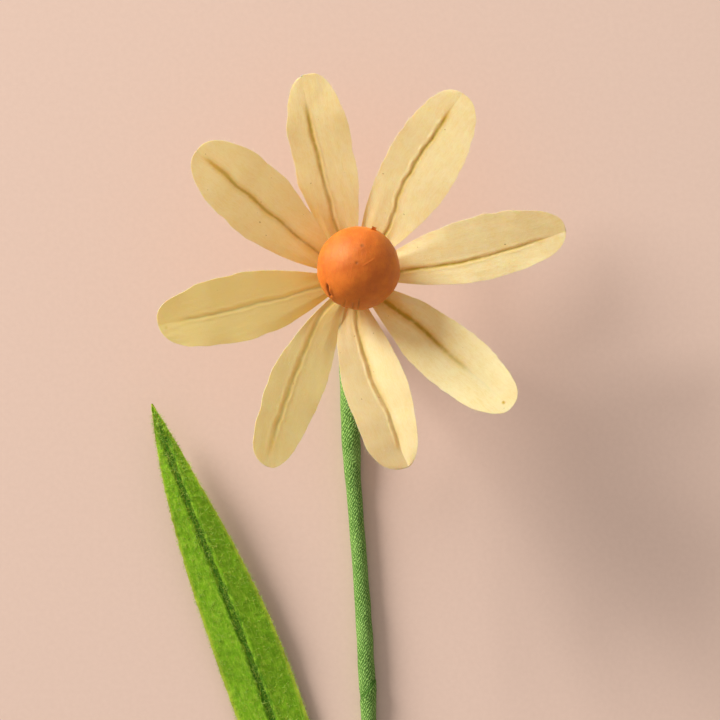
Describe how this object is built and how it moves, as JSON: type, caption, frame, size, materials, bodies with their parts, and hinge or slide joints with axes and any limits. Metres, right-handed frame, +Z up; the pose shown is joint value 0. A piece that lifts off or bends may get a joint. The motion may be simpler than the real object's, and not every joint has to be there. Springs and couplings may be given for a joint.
{
  "type": "paper daisy flower",
  "caption": "Handmade-paper daisy on a taped wire stem with one long leaf; it lies on its stem with the head bent up to face the viewer.",
  "frame": {"origin": "middle of the whole flower's footprint, on the surface that it lies on", "axes": "+Z up from that surface, +Y along the stem towards the flower head, +X to the right as seen from above with the head away from the viewer"},
  "size_m": [0.0926, 0.323, 0.0488],
  "materials": {
    "petal_paper": "cream mulberry paper, matte and translucent",
    "ball_paper": "orange matte paper over a solid spun-paper ball",
    "stem_tape": "green crepe paper tape, wound on the slant",
    "leaf_paper": "green felted paper, fuzzy",
    "stem_wire": "plain steel wire, cut end",
    "thin_wire": "thin steel wire with an olive thread wrap"
  },
  "bodies": {
    "root": {"petal_1": "petal_paper", "petal_2": "petal_paper", "petal_3": "petal_paper", "petal_4": "petal_paper", "petal_5": "petal_paper", "petal_6": "petal_paper", "petal_7": "petal_paper", "petal_8": "petal_paper", "petal_1_wire": "thin_wire", "petal_2_wire": "thin_wire", "petal_3_wire": "thin_wire", "petal_4_wire": "thin_wire", "petal_5_wire": "thin_wire", "petal_6_wire": "thin_wire", "petal_7_wire": "thin_wire", "petal_8_wire": "thin_wire", "centre_ball": "ball_paper", "stem_wire": "stem_wire", "stem_wrap": "stem_tape", "leaf": "leaf_paper", "leaf_wire": "thin_wire"}
  },
  "joints": []
}
